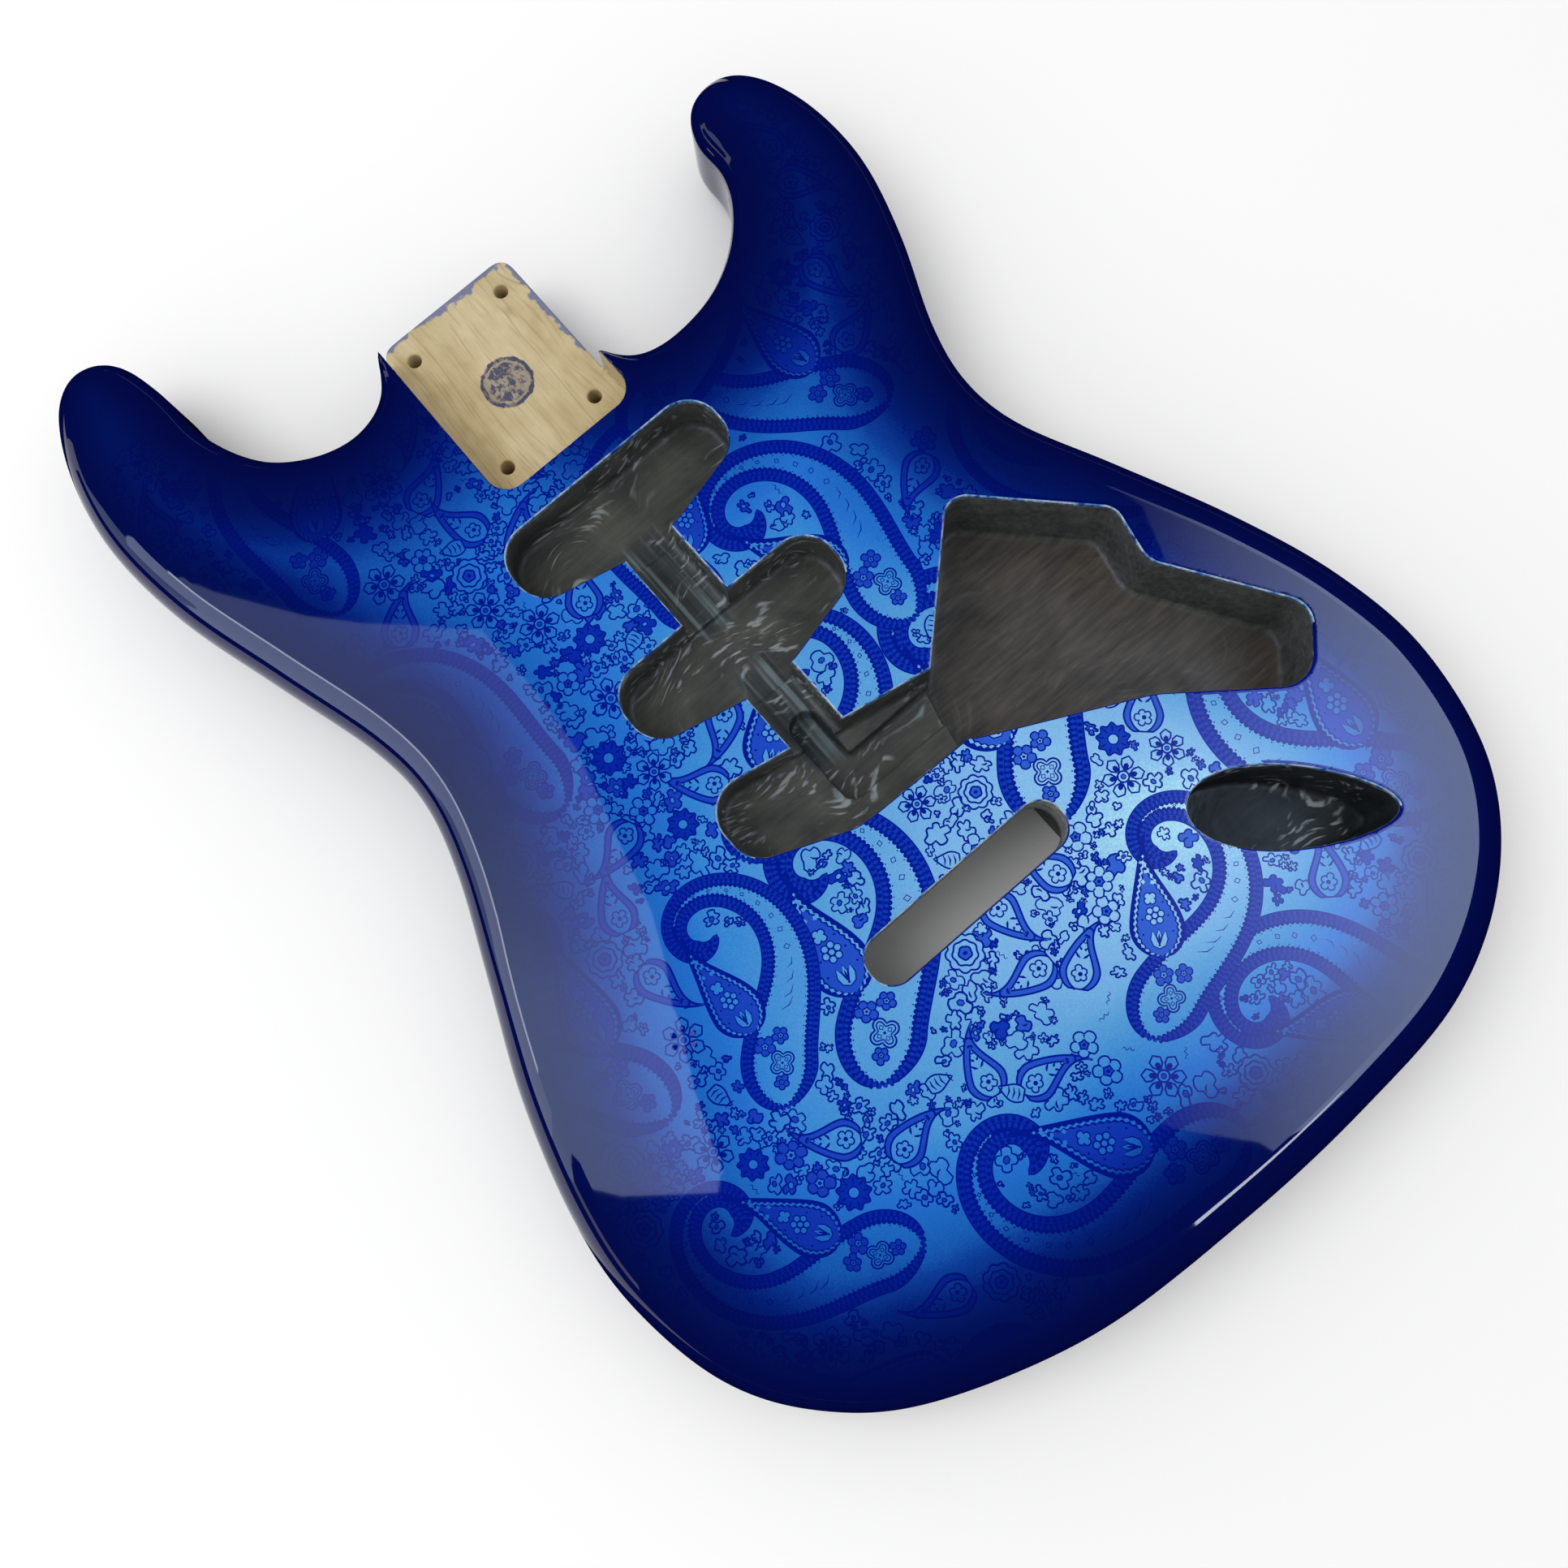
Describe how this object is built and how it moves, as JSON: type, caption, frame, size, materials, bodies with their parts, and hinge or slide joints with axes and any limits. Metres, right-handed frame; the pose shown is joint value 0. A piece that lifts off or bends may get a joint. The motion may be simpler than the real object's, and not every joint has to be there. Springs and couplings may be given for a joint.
{
  "type": "electric guitar body",
  "caption": "Double-cutaway solid guitar body, routed for pickups, controls, jack and tremolo, with a paisley top sheet and no hardware.",
  "frame": {"origin": "on the centre line, in the plane of the neck pocket's inner end wall, on the flat back", "axes": "+X to the treble side, +Y towards the neck, +Z out of the front face; the body lies on its back"},
  "size_m": [0.3223, 0.4545, 0.0445],
  "materials": {
    "lacquered_wood": "gloss",
    "printed_sheet": "gloss",
    "conductive_paint": "satin"
  },
  "bodies": {
    "root": {"bass_side_plank": "lacquered_wood", "centre_plank": "lacquered_wood", "treble_side_plank": "lacquered_wood", "printed_top_sheet": "printed_sheet", "pickup_cavity_shielding": "conductive_paint", "control_cavity_shielding": "conductive_paint", "jack_cavity_shielding": "conductive_paint"}
  },
  "joints": []
}
